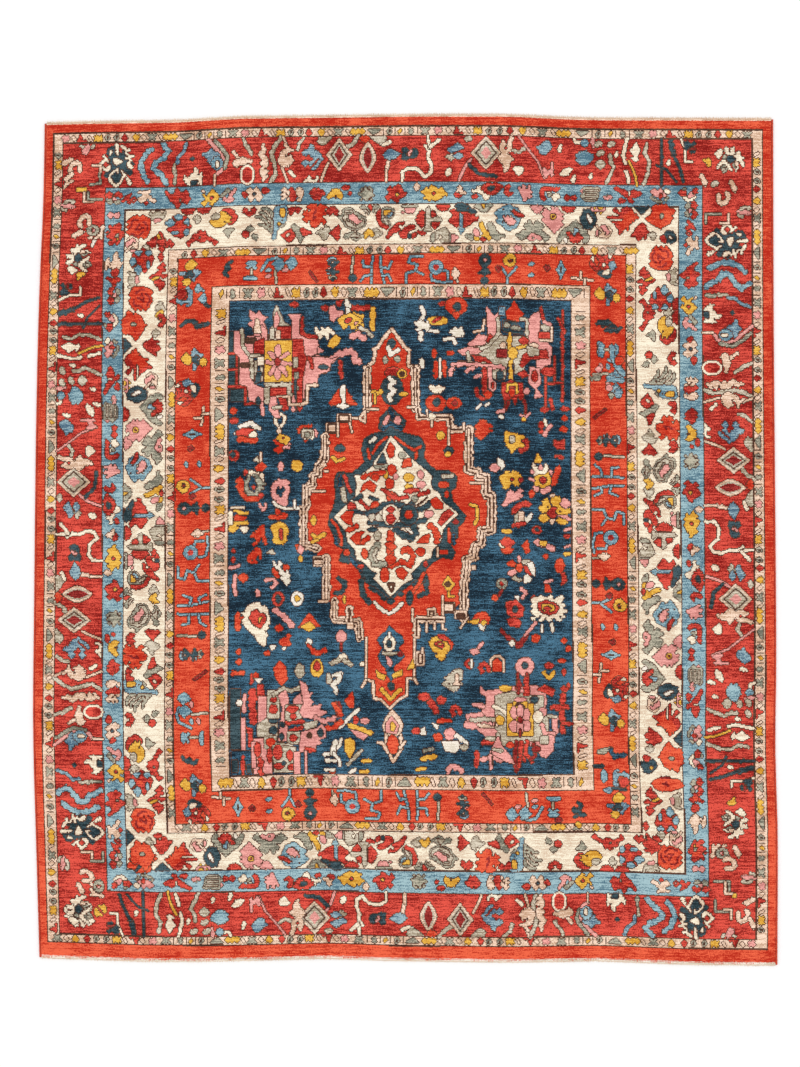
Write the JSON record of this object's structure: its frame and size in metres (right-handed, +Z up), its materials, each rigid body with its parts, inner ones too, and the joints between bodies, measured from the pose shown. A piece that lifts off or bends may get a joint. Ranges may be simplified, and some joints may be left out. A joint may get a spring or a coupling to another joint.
{
  "type": "kazak rug",
  "caption": "Hand-knotted wool pile rug with a latch-hook medallion, scattered small flowers and a broad set of borders, lying flat.",
  "frame": {"origin": "on the floor, under the middle of the whole rug with its fringes", "axes": "+Z up out of the pile, +Y towards the rug's head end, +X to the right seen from above"},
  "size_m": [2.4564, 2.8176, 0.01],
  "materials": {
    "wool_pile": "short cut wool pile",
    "side_cord_wool": "wrapped wool yarn",
    "warp_yarn": "undyed spun yarn"
  },
  "bodies": {
    "root": {"carpet": "wool_pile", "side_cord_left": "side_cord_wool", "side_cord_right": "side_cord_wool", "end_fringe_head": "warp_yarn", "end_fringe_foot": "warp_yarn"}
  },
  "joints": []
}
